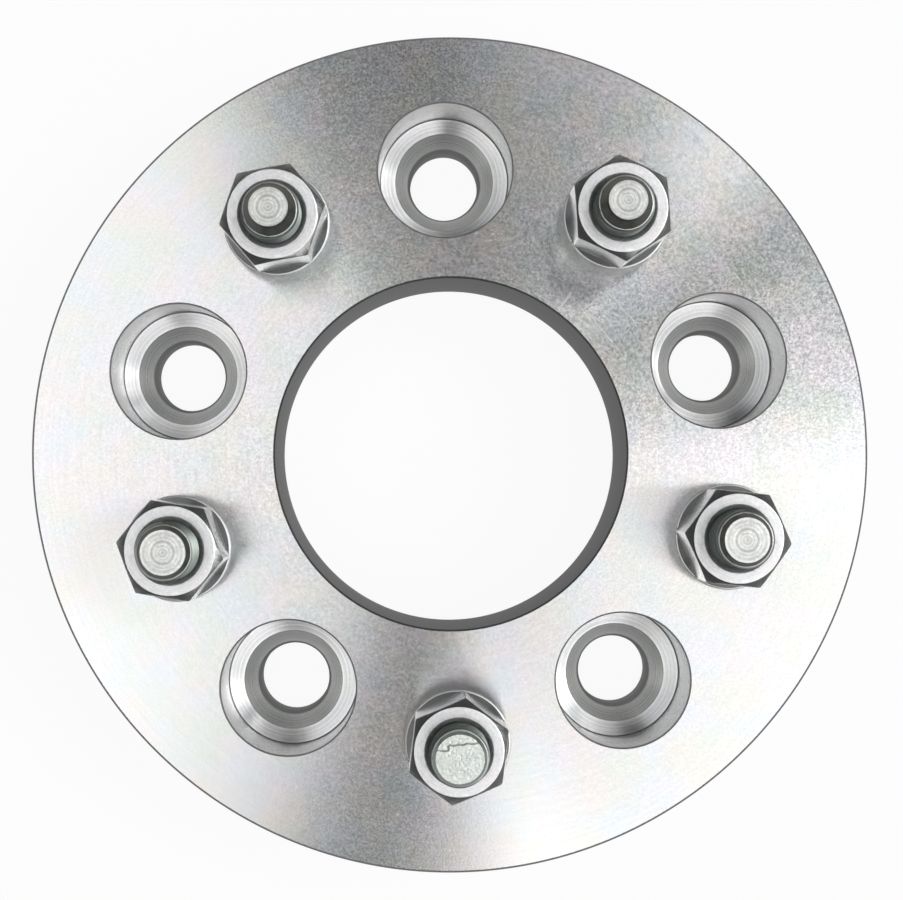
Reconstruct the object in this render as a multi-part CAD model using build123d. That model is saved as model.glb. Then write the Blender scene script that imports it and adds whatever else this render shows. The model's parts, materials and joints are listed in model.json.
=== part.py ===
from build123d import *
import math
import os

# Bolt-on wheel spacer: a turned aluminium ring with five counterbored lug holes,
# five pressed-in wheel studs and a lug nut run down on each stud.
# Millimetres. Origin at the centre of the back (hub) face, +Z out through the wheel face.

# Bolt circle shared by the lug holes and the wheel studs
lug_count = 5
pitch_circle = 120.65
first_hole_angle = 19.2

# Adapter body
rim_width = 28.375
body_thickness = 31.75
body_edge_chamfer = 0.5
bore_diameter = 74.6
bore_edge_chamfer = 0.4

# Lug holes: straight land at the back, a steep lead, conical nut seat, counterbore open to the wheel face
through_hole_diameter = 15.1
land_length = 6.1
lead_length = 2.45
lead_width = 0.55
seat_angle = 60.0
seat_width = 2.75
counterbore_floor_width = 3.4
counterbore_edge_chamfer = 0.35
back_edge_chamfer = 0.4

# Wheel studs
thread_diameter = 12.0
shank_clearance = 0.35
stud_reach = 32.3
head_diameter = 19.0
head_height = 4.2
head_edge_chamfer = 0.6
head_setback = 0.8
head_recess_clearance = 1.5
knurl_clearance = 0.01
knurl_depth = 0.28
knurl_length = 9.0
knurl_rib_count = 36

# Stud ends: a flat tip, a neck of the tip's diameter, a 45 degree shoulder up to the first thread,
# which lies this far inside the full thread, and a lead-in over which the thread reaches full size
tip_edge_chamfer = 0.15
thread_lead_in = 1.1
dog_point_diameter = 7.9
dog_point_length = 2.8
dog_shoulder_inset = 0.55
chamfered_tip_diameter = 9.1
chamfered_neck_length = 0.9
chamfered_shoulder_inset = 0.55
sheared_tip_diameter = 9.8
sheared_neck_length = 0.5
sheared_shoulder_inset = 0.4

# Break in the sheared end: a lower step beyond a slanting line, and a ledge at its left that comes nearer
sheared_step_depth = 0.4
sheared_step_offset = 2.85
sheared_step_angle = 5.0
sheared_ledge_offset = 1.7
sheared_ledge_start = 2.3

# Lug nuts
across_flats = 19.0
nut_height = 21.8
nut_corner_radius = 0.5
thread_fit = 0.02
nose_wall = 1.0
nose_countersink = 0.4
mouth_width = 0.93
mouth_angle = 90.0
top_ring_inset = 0.47
top_chamfer_angle = 30.0
bulge_overhang = 0.1
bulge_round = 0.45
bulge_arc_rise = 0.11
bulge_band = 0.7
bulge_land_width = 0.4
bulge_land_angle = 10.0
bulge_shoulder_angle = 38.0

# Corner direction of each nut's hexagon, as the nuts happen to stand
nut_corner_angles = [34.0, 11.0, 51.0, 23.0, 54.0]

# How far each cutting solid runs past the faces that it opens
cutter_margin = 1.0

# Sizes that follow from the driving ones
pitch_radius = pitch_circle / 2
body_radius = pitch_radius + rim_width
bore_radius = bore_diameter / 2
through_radius = through_hole_diameter / 2
seat_slope = math.tan(math.radians(seat_angle / 2))
seat_foot_radius = through_radius + lead_width
seat_foot_z = land_length + lead_length
seat_mouth_radius = seat_foot_radius + seat_width
seat_mouth_z = seat_foot_z + seat_width / seat_slope
counterbore_radius = seat_mouth_radius + counterbore_floor_width
thread_radius = thread_diameter / 2
stud_hole_radius = thread_radius + shank_clearance
head_radius = head_diameter / 2
recess_radius = head_radius + head_recess_clearance
recess_depth = head_height + head_setback
stud_tip_z = body_thickness + stud_reach
flat_radius = across_flats / 2
corner_radius = flat_radius / math.cos(math.pi / 6)
bulge_radius = corner_radius + bulge_overhang
nose_radius = thread_radius + nose_wall
cone_top_radius = bulge_radius - bulge_round
cone_top_z = (cone_top_radius - nose_radius) / seat_slope
step_angle = 360.0 / lug_count


def turned(points):
    """A solid turned about the Z axis from (radius, height) points."""
    with BuildPart() as part:
        with BuildSketch(Plane.XZ):
            with BuildLine():
                Polyline(*points, close=True)
            make_face()
        revolve(axis=Axis.Z)
    return part.part


def on_circle(solid, index, half_step=0.0):
    """The solid moved to its place on the bolt circle, without turning it."""
    angle = math.radians(first_hole_angle + (index + half_step) * step_angle)
    return solid.moved(Location((pitch_radius * math.cos(angle), pitch_radius * math.sin(angle), 0)))


def lug_hole_cutter():
    """Everything that is cut from the body at one lug hole."""
    top = body_thickness
    mouth = counterbore_radius + counterbore_edge_chamfer
    return turned([
        (0, -cutter_margin),
        (through_radius + back_edge_chamfer, -cutter_margin),
        (through_radius + back_edge_chamfer, 0),
        (through_radius, back_edge_chamfer),
        (through_radius, land_length),
        (seat_foot_radius, seat_foot_z),
        (seat_mouth_radius, seat_mouth_z),
        (counterbore_radius, seat_mouth_z),
        (counterbore_radius, top - counterbore_edge_chamfer),
        (mouth, top),
        (mouth, top + cutter_margin),
        (0, top + cutter_margin),
    ])


def stud_hole_cutter():
    """The pressed stud's hole, with its head recess in the back face."""
    return turned([
        (0, -cutter_margin),
        (recess_radius + back_edge_chamfer, -cutter_margin),
        (recess_radius + back_edge_chamfer, 0),
        (recess_radius, back_edge_chamfer),
        (recess_radius, recess_depth),
        (stud_hole_radius, recess_depth),
        (stud_hole_radius, body_thickness + cutter_margin),
        (0, body_thickness + cutter_margin),
    ])


def adapter_body():
    """The turned and drilled aluminium ring."""
    top = body_thickness
    edge = body_edge_chamfer
    body = turned([
        (bore_radius + bore_edge_chamfer, 0),
        (body_radius - edge, 0),
        (body_radius, edge),
        (body_radius, top - edge),
        (body_radius - edge, top),
        (bore_radius + bore_edge_chamfer, top),
        (bore_radius, top - bore_edge_chamfer),
        (bore_radius, bore_edge_chamfer),
    ])
    lug_hole = lug_hole_cutter()
    stud_hole = stud_hole_cutter()
    for index in range(lug_count):
        body -= on_circle(lug_hole, index)
        body -= on_circle(stud_hole, index, 0.5)
    return body


def stud_end(tip_diameter, neck_length, shoulder_inset):
    """Profile of a stud's end, from the full thread up to the flat tip."""
    radius = tip_diameter / 2
    first_crest = thread_radius - shoulder_inset
    shoulder_z = stud_tip_z - neck_length
    crest_z = shoulder_z - (first_crest - radius)
    return [
        (thread_radius, crest_z - thread_lead_in),
        (first_crest, crest_z),
        (radius, shoulder_z),
        (radius, stud_tip_z - tip_edge_chamfer),
        (radius - tip_edge_chamfer, stud_tip_z),
    ]


def knurl():
    """The serrated collar under the head that grips the hole."""
    crest = stud_hole_radius - knurl_clearance
    root = crest - knurl_depth
    points = []
    for rib in range(knurl_rib_count):
        for half, radius in ((0, crest), (0.5, root)):
            angle = 2 * math.pi * (rib + half) / knurl_rib_count
            points.append((radius * math.cos(angle), radius * math.sin(angle)))
    with BuildPart() as part:
        with BuildSketch(Plane.XY.offset(recess_depth)):
            with BuildLine():
                Polyline(*points, close=True)
            make_face()
        extrude(amount=knurl_length)
    return part.part


def wheel_stud(end_profile):
    """A headed stud from its head in the back recess to its tip, thread drawn at its major diameter."""
    edge = head_edge_chamfer
    shank = turned([
        (0, head_setback),
        (head_radius - edge, head_setback),
        (head_radius, head_setback + edge),
        (head_radius, recess_depth),
        (thread_radius, recess_depth),
        *end_profile,
        (0, stud_tip_z),
    ])
    return shank + knurl()


def shear(stud):
    """Break a stud's end as a rough parting cut does: the far side lies lower, with a ledge at its left."""
    reach = sheared_tip_diameter / 2 + cutter_margin
    depth = sheared_step_depth
    step = Box(2 * reach, reach, depth, align=(Align.CENTER, Align.MIN, Align.MAX))
    ledge = Box(reach, reach, depth, align=(Align.MAX, Align.MIN, Align.MAX))
    step_place = Location((0, sheared_step_offset, stud_tip_z), (0, 0, sheared_step_angle))
    ledge_place = Location((-sheared_ledge_start, sheared_ledge_offset, stud_tip_z))
    return stud - step.moved(step_place) - ledge.moved(ledge_place)


def nut_blank():
    """The nut turned: conical nose, rounded bulge with a narrow land, and a shoulder under the hexagon."""
    land_slope = math.tan(math.radians(bulge_land_angle))
    shoulder_slope = math.tan(math.radians(bulge_shoulder_angle))
    band_top = cone_top_z + bulge_round + bulge_band
    land_radius = bulge_radius - bulge_land_width
    land_z = band_top + bulge_land_width * land_slope
    shoulder_radius = flat_radius - bulge_round
    shoulder_z = land_z + (land_radius - shoulder_radius) * shoulder_slope
    with BuildPart() as blank:
        with BuildSketch(Plane.XZ):
            with BuildLine():
                Polyline((0, 0), (nose_radius, 0), (cone_top_radius, cone_top_z))
                SagittaArc(
                    (cone_top_radius, cone_top_z),
                    (bulge_radius, band_top),
                    -bulge_arc_rise,
                )
                Polyline(
                    (bulge_radius, band_top),
                    (land_radius, land_z),
                    (shoulder_radius, shoulder_z),
                    (0, shoulder_z),
                    (0, 0),
                )
            make_face()
        revolve(axis=Axis.Z)
    return blank.part


def nut_hexagon():
    """The wrench hexagon, chamfered on top and running down into the bulge."""
    top_ring_radius = flat_radius - top_ring_inset
    drop = (corner_radius - top_ring_radius) * math.tan(math.radians(top_chamfer_angle))
    with BuildPart() as hexagon:
        with BuildSketch(Plane.XY.offset(cone_top_z)):
            RegularPolygon(flat_radius, 6, major_radius=False)
            fillet(vertices(), nut_corner_radius)
        extrude(amount=nut_height - cone_top_z)
    chamfer_blank = turned([
        (0, cone_top_z),
        (corner_radius, cone_top_z),
        (corner_radius, nut_height - drop),
        (top_ring_radius, nut_height),
        (0, nut_height),
    ])
    return hexagon.part & chamfer_blank


def lug_nut():
    """An open-ended bulge nut, corners along X, with its thread drawn as a plain bore."""
    bore = thread_radius + thread_fit
    mouth = thread_radius + mouth_width
    mouth_depth = (mouth - bore) / math.tan(math.radians(mouth_angle / 2))
    cutter = turned([
        (0, -cutter_margin),
        (bore + nose_countersink, -cutter_margin),
        (bore + nose_countersink, 0),
        (bore, nose_countersink),
        (bore, nut_height - mouth_depth),
        (mouth, nut_height),
        (mouth, nut_height + cutter_margin),
        (0, nut_height + cutter_margin),
    ])
    return nut_blank() + nut_hexagon() - cutter


# Which end each stud has, counted round the circle from the first stud hole
dog_point_stud = wheel_stud(stud_end(dog_point_diameter, dog_point_length, dog_shoulder_inset))
chamfered_stud = wheel_stud(stud_end(chamfered_tip_diameter, chamfered_neck_length, chamfered_shoulder_inset))
sheared_stud = shear(wheel_stud(stud_end(sheared_tip_diameter, sheared_neck_length, sheared_shoulder_inset)))
stud_kinds = [dog_point_stud, dog_point_stud, chamfered_stud, sheared_stud, chamfered_stud]
nut = lug_nut()

os.makedirs("parts", exist_ok=True)
export_step(adapter_body(), "parts/adapter_body.step")
for index in range(lug_count):
    stud = on_circle(stud_kinds[index % len(stud_kinds)], index, 0.5)
    export_step(stud, f"parts/wheel_stud_{index + 1}.step")
    turn = nut_corner_angles[index % len(nut_corner_angles)]
    seated_nut = nut.moved(Location((0, 0, body_thickness), (0, 0, turn)))
    export_step(on_circle(seated_nut, index, 0.5), f"parts/lug_nut_{index + 1}.step")
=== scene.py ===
"""A bolt-on wheel spacer, dressed: the turned aluminium ring, its wheel studs and its lug nuts.

Everything is in metres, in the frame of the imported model: the origin is the centre of the hub face,
and +Z points out through the wheel face.
"""

from __future__ import annotations

import json
import logging
import math
from abc import ABC, abstractmethod
from collections.abc import Callable, Sequence
from dataclasses import dataclass
from enum import Enum
from functools import cache

import bmesh
import bpy
from mathutils import Matrix, Vector, noise


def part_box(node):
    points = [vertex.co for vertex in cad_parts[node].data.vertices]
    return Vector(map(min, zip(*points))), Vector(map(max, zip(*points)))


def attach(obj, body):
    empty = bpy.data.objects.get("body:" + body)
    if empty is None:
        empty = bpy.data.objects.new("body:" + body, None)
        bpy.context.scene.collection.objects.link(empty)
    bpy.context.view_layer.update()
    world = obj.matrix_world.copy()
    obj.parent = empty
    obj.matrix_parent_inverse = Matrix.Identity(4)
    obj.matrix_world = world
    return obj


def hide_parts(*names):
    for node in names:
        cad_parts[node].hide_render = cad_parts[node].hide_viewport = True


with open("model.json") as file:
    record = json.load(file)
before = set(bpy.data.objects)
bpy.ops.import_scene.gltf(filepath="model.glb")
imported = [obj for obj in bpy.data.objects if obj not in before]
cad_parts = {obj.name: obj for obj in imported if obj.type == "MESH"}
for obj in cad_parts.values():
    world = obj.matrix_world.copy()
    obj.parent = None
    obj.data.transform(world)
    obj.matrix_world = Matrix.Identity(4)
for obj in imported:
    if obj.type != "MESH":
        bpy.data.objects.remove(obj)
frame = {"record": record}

MM = 0.001
TURN = 2 * math.pi
UP = Vector((0.0, 0.0, 1.0))
PICTURE_UP = Vector((0.0, 1.0, 0.0))
AXIS_ATTRIBUTE = "turning_axis"
WELD_DISTANCE = 0.001 * MM
NOISE_SPREAD = (0.3, 0.7)
TINT_SPREAD = (0.35, 0.65)
RISING = (0.0, 1.0)
FALLING = (1.0, 0.0)
WHITE = (1.0, 1.0, 1.0, 1.0)

log = logging.getLogger("wheel_spacer")

Colour = tuple[float, float, float]
Socket = bpy.types.NodeSocket


class NodeDesk:
    """Adds nodes to a tree and wires them, so that a finish reads as a list of steps."""

    def __init__(self, tree: bpy.types.NodeTree) -> None:
        """Work on one tree."""
        self.tree = tree

    def add(self, kind: str, inputs: dict[str | int, object], **settings: object) -> bpy.types.Node:
        """Add one node.

        Args:
            kind: The node's type name.
            inputs: What goes into its sockets, by name or place: a socket to link or a value.
            settings: The node's own settings.

        Returns:
            The new node.
        """
        node = self.tree.nodes.new(kind)
        for name, value in settings.items():
            setattr(node, name, value)
        for key, value in inputs.items():
            if isinstance(value, Socket):
                self.tree.links.new(value, node.inputs[key])
            else:
                node.inputs[key].default_value = value
        return node

    def math(self, operation: str, *values: object) -> Socket:
        """Add a Math node on one to three values and return its result."""
        return self.add("ShaderNodeMath", dict(enumerate(values)), operation=operation).outputs[0]

    def vector(self, operation: str, *values: object) -> Socket:
        """Add a Vector Math node and return its vector result."""
        node = self.add("ShaderNodeVectorMath", dict(enumerate(values)), operation=operation)
        return node.outputs["Vector"]

    def length(self, vector: Socket) -> Socket:
        """Return the length of a vector."""
        return self.add("ShaderNodeVectorMath", {0: vector}, operation="LENGTH").outputs["Value"]

    def dot(self, first: object, second: object) -> Socket:
        """Return the dot product of two vectors."""
        node = self.add("ShaderNodeVectorMath", {0: first, 1: second}, operation="DOT_PRODUCT")
        return node.outputs["Value"]

    def scaled(self, vector: object, factor: object) -> Socket:
        """Return a vector times a number."""
        node = self.add("ShaderNodeVectorMath", {0: vector, "Scale": factor}, operation="SCALE")
        return node.outputs["Vector"]

    def split(self, vector: Socket) -> tuple[Socket, ...]:
        """Return the three parts of a vector."""
        return tuple(self.add("ShaderNodeSeparateXYZ", {0: vector}).outputs)

    def joined(self, x: object, y: object, z: object) -> Socket:
        """Return a vector of three parts."""
        return self.add("ShaderNodeCombineXYZ", {0: x, 1: y, 2: z}).outputs[0]

    def remap(self, value: object, source: tuple[float, float], target: tuple[float, float],
              smooth: bool = False) -> Socket:
        """Move a value from one range to another, held at the ends.

        Args:
            value: The value, or the socket that gives it.
            source: The range that it comes from.
            target: The range that it goes to.
            smooth: Whether it starts and stops gently.

        Returns:
            The moved value.
        """
        inputs = {"Value": value, "From Min": source[0], "From Max": source[1],
                  "To Min": target[0], "To Max": target[1]}
        kind = "SMOOTHSTEP" if smooth else "LINEAR"
        return self.add("ShaderNodeMapRange", inputs, interpolation_type=kind, clamp=True).outputs[0]

    def noise(self, place: Socket, size: float, detail: float, line: bool = False) -> Socket:
        """Return a noise value from 0 to 1.

        Args:
            place: A vector, or the one coordinate that the noise follows.
            size: How long one lump of it is, in metres.
            detail: How many finer octaves it has.
            line: Whether place is one coordinate, so that the noise makes bands.

        Returns:
            The noise value.
        """
        inputs = {"W" if line else "Vector": place, "Scale": 1.0 / size, "Detail": detail}
        return self.add("ShaderNodeTexNoise", inputs, noise_dimensions="1D" if line else "3D").outputs[0]


class Zone(Enum):
    """A stretch of a piece's surface with one material; where its colour holds painted shade or a painted
    highlight, its material says so.
    """

    FACE = "aluminium_face"
    RIM = "aluminium_rim"
    PAINTED_SHADE_BORE = "aluminium_painted_shade_bore"
    EDGE = "aluminium_painted_shade_edge"
    POCKET_PAINTED_SHADE_EDGE = "aluminium_pocket_painted_shade_edge"
    PAINTED_SHADE_UNDERCUT = "aluminium_painted_shade_undercut"
    PAINTED_SHADE_POCKET_WALL = "aluminium_painted_shade_pocket_wall"
    PAINTED_LIGHT_POCKET_FLOOR = "aluminium_painted_light_pocket_floor"
    SEAT = "aluminium_seat"
    PAINTED_SHADE_LAND = "aluminium_painted_shade_land"
    STUD_HOLE = "aluminium_stud_hole"
    THREAD = "steel_painted_shade_thread"
    KNURL = "steel_knurl"
    PAINTED_HIGHLIGHT_STUD_CREST = "steel_painted_highlight_stud_crest"
    PAINTED_SHADE_STUD_SIDE = "steel_painted_shade_stud_side"
    PAINTED_HIGHLIGHT_STUD_TIP = "steel_painted_highlight_stud_tip"
    BROKEN_TIP = "steel_broken_tip"
    STUD_HEAD = "steel_stud_head"
    NUT_THREAD = "zinc_nut_thread"
    PAINTED_HIGHLIGHT_NUT_RING = "zinc_painted_highlight_nut_ring"
    PAINTED_SHADE_NUT_CROWN = "zinc_painted_shade_nut_crown"
    NUT_SIDE = "zinc_nut_side"
    PAINTED_SHADE_NUT_SHOULDER = "zinc_painted_shade_nut_shoulder"
    NUT_RIM = "zinc_nut_rim"
    NUT_MOUTH = "zinc_nut_mouth"
    NUT_NOSE = "zinc_nut_nose"


@dataclass(frozen=True)
class Scratch:
    """A fine scratch on the wheel face, from one place to another on it."""

    start: tuple[float, float]
    end: tuple[float, float]
    height: float
    half_width: float = 0.09 * MM
    bend_size: float = 1.5 * MM
    bend: float = 0.25 * MM

    def mask(self, desk: NodeDesk, spot: Socket) -> Socket:
        """Return 1 in the scratch, falling to 0 beside it.

        Args:
            desk: The node desk of the material.
            spot: The place on the piece.

        Returns:
            The mask's value.
        """
        start = Vector((*self.start, self.height))
        along = Vector((*self.end, self.height)) - start
        wander = desk.joined(desk.noise(spot, self.bend_size, detail=1.0), 0.0, 0.0)
        bent = desk.vector("ADD", spot, desk.scaled(wander, self.bend))
        off_start = desk.vector("SUBTRACT", bent, tuple(start))
        passed = desk.dot(off_start, tuple(along / along.length_squared))
        share = desk.add("ShaderNodeClamp", {"Value": passed}).outputs[0]
        away = desk.length(desk.vector("SUBTRACT", off_start, desk.scaled(tuple(along), share)))
        return desk.remap(away, (0.0, self.half_width), FALLING, smooth=True)


@dataclass(frozen=True)
class TurnedMetal:
    """Metal cut on a lathe: rings round the turning axis, a sheen across them, fine speckle and tints."""

    colour: Colour
    roughness: float
    anisotropy: float = 0.0
    edge_tone: float = 1.0
    roughness_spread: float = 0.02
    ring_width: float = 0.5 * MM
    ring_depth: float = 0.002 * MM
    ring_shade: float = 0.06
    arc_shade: float = 0.04
    arc_stretch: float = 0.02
    speckle_size: float = 0.55 * MM
    speckle_depth: float = 0.004 * MM
    speckle_shade: float = 0.05
    speckle_roughness: float = 0.0
    tint: float = 0.015
    tint_size: float = 9.0 * MM
    scratches: tuple[Scratch, ...] = ()
    scratch_roughness: float = 0.3

    def material(self, name: str) -> bpy.types.Material:
        """Build the finish as a material.

        Args:
            name: The material's name.

        Returns:
            The material.
        """
        material = bpy.data.materials.new(name)
        material.use_nodes = True
        tree = material.node_tree
        tree.nodes.clear()
        desk = NodeDesk(tree)
        place = desk.add("ShaderNodeTexCoord", {}).outputs["Object"]
        axis = desk.add("ShaderNodeAttribute", {}, attribute_name=AXIS_ATTRIBUTE).outputs["Vector"]
        spot = desk.vector("SUBTRACT", place, axis)
        x, y, z = desk.split(spot)
        radius = desk.length(desk.joined(x, y, 0.0))
        along_profile = desk.math("ADD", radius, z)
        rings = desk.noise(along_profile, self.ring_width, detail=2.0, line=True)
        speckle = desk.noise(spot, self.speckle_size, detail=1.0)
        arcs = self._arcs(desk, spot, along_profile)
        shader = desk.add("ShaderNodeBsdfPrincipled", {
            "Base Color": self._colour(desk, spot, rings, speckle, arcs),
            "Metallic": 1.0,
            "Roughness": self._roughness(desk, spot, arcs, speckle),
            "Anisotropic": self.anisotropy,
            "Specular Tint": (self.edge_tone, self.edge_tone, self.edge_tone, 1.0),
            "Normal": self._relief(desk, rings, speckle),
            "Tangent": self._across_rings(desk, spot),
        })
        desk.add("ShaderNodeOutputMaterial", {"Surface": shader.outputs[0]})
        return material

    def _across_rings(self, desk: NodeDesk, spot: Socket) -> Socket:
        """Find the direction in the surface that crosses the tool's rings.

        Args:
            desk: The node desk of the material.
            spot: The place relative to the turning axis.

        Returns:
            The direction.
        """
        along = desk.vector("NORMALIZE", desk.vector("CROSS_PRODUCT", tuple(UP), spot))
        normal = desk.add("ShaderNodeNewGeometry", {}).outputs["Normal"]
        return desk.vector("CROSS_PRODUCT", along, normal)

    def _arcs(self, desk: NodeDesk, spot: Socket, along_profile: Socket) -> Socket:
        """Draw noise out into short arcs round the axis.

        Args:
            desk: The node desk of the material.
            spot: The place relative to the turning axis.
            along_profile: The coordinate that the tool's rings follow.

        Returns:
            The noise value.
        """
        around = desk.scaled(desk.vector("NORMALIZE", spot), self.arc_stretch)
        lifted = desk.joined(0.0, 0.0, along_profile)
        return desk.noise(desk.vector("ADD", around, lifted), self.ring_width, detail=3.0)

    @staticmethod
    def _tone(desk: NodeDesk, pattern: Socket, shade: float) -> Socket:
        """Return a brightness of 1 where a pattern is high, and less by shade where it is low."""
        return desk.remap(pattern, NOISE_SPREAD, (1.0 - shade, 1.0))

    def _colour(self, desk: NodeDesk, spot: Socket, rings: Socket, speckle: Socket,
                arcs: Socket) -> Socket:
        """Shade the metal's colour by rings, arcs and speckle, and tint it faintly.

        Args:
            desk: The node desk of the material.
            spot: The place relative to the turning axis.
            rings: The tool's rings.
            speckle: The grain.
            arcs: The short arcs round the axis.

        Returns:
            The colour.
        """
        elsewhere = desk.vector("ADD", spot, (self.tint_size, 0.0, self.tint_size))
        low, high = 1.0 - self.tint, 1.0 + self.tint
        red = desk.remap(desk.noise(spot, self.tint_size, detail=1.0), TINT_SPREAD, (low, high))
        blue = desk.remap(desk.noise(elsewhere, self.tint_size, detail=1.0), TINT_SPREAD, (high, low))
        tinted = desk.vector("MULTIPLY", self.colour, desk.joined(red, 1.0, blue))
        tone = self._tone(desk, rings, self.ring_shade)
        for pattern, shade in ((arcs, self.arc_shade), (speckle, self.speckle_shade)):
            tone = desk.math("MULTIPLY", tone, self._tone(desk, pattern, shade))
        return desk.scaled(tinted, tone)

    def _roughness(self, desk: NodeDesk, spot: Socket, arcs: Socket, speckle: Socket) -> Socket:
        """Make the roughness uneven from place to place, and higher in a scratch.

        Args:
            desk: The node desk of the material.
            spot: The place relative to the turning axis.
            arcs: The short arcs round the axis.
            speckle: The grain.

        Returns:
            The roughness.
        """
        cloud = desk.noise(spot, self.tint_size, detail=3.0)
        mixed = desk.math("MULTIPLY", desk.math("ADD", cloud, arcs), 0.5)
        low, high = self.roughness - self.roughness_spread, self.roughness + self.roughness_spread
        roughness = desk.remap(mixed, NOISE_SPREAD, (low, high))
        if self.speckle_roughness:
            rougher = desk.remap(speckle, NOISE_SPREAD, (-self.speckle_roughness, self.speckle_roughness))
            roughness = desk.math("ADD", roughness, rougher)
        for scratch in self.scratches:
            torn = desk.math("MULTIPLY", scratch.mask(desk, spot), self.scratch_roughness)
            roughness = desk.math("ADD", roughness, torn)
        return roughness

    def _relief(self, desk: NodeDesk, rings: Socket, speckle: Socket) -> Socket:
        """Lay the rings' and the speckle's relief on the surface.

        Args:
            desk: The node desk of the material.
            rings: The tool's rings.
            speckle: The grain.

        Returns:
            The normal.
        """
        grain = {"Strength": 1.0, "Distance": self.speckle_depth, "Height": speckle}
        grooves = {"Strength": 1.0, "Distance": self.ring_depth, "Height": rings,
                   "Normal": desk.add("ShaderNodeBump", grain).outputs[0]}
        return desk.add("ShaderNodeBump", grooves).outputs[0]


def grey(level: float) -> Colour:
    """Return a plain grey."""
    return level, level, level


ALUMINIUM: Colour = grey(0.90)
STEEL: Colour = (0.72, 0.73, 0.70)
ZINC: Colour = (0.78, 0.79, 0.79)

FACE_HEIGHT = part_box("adapter_body")[1].z
FACE_SCRATCHES = (
    Scratch((23.2 * MM, 30.8 * MM), (25.6 * MM, 34.2 * MM), FACE_HEIGHT, half_width=0.3 * MM),
    Scratch((33.2 * MM, 34.6 * MM), (39.2 * MM, 28.0 * MM), FACE_HEIGHT),
    Scratch((29.0 * MM, 30.4 * MM), (34.6 * MM, 23.4 * MM), FACE_HEIGHT),
)

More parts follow.
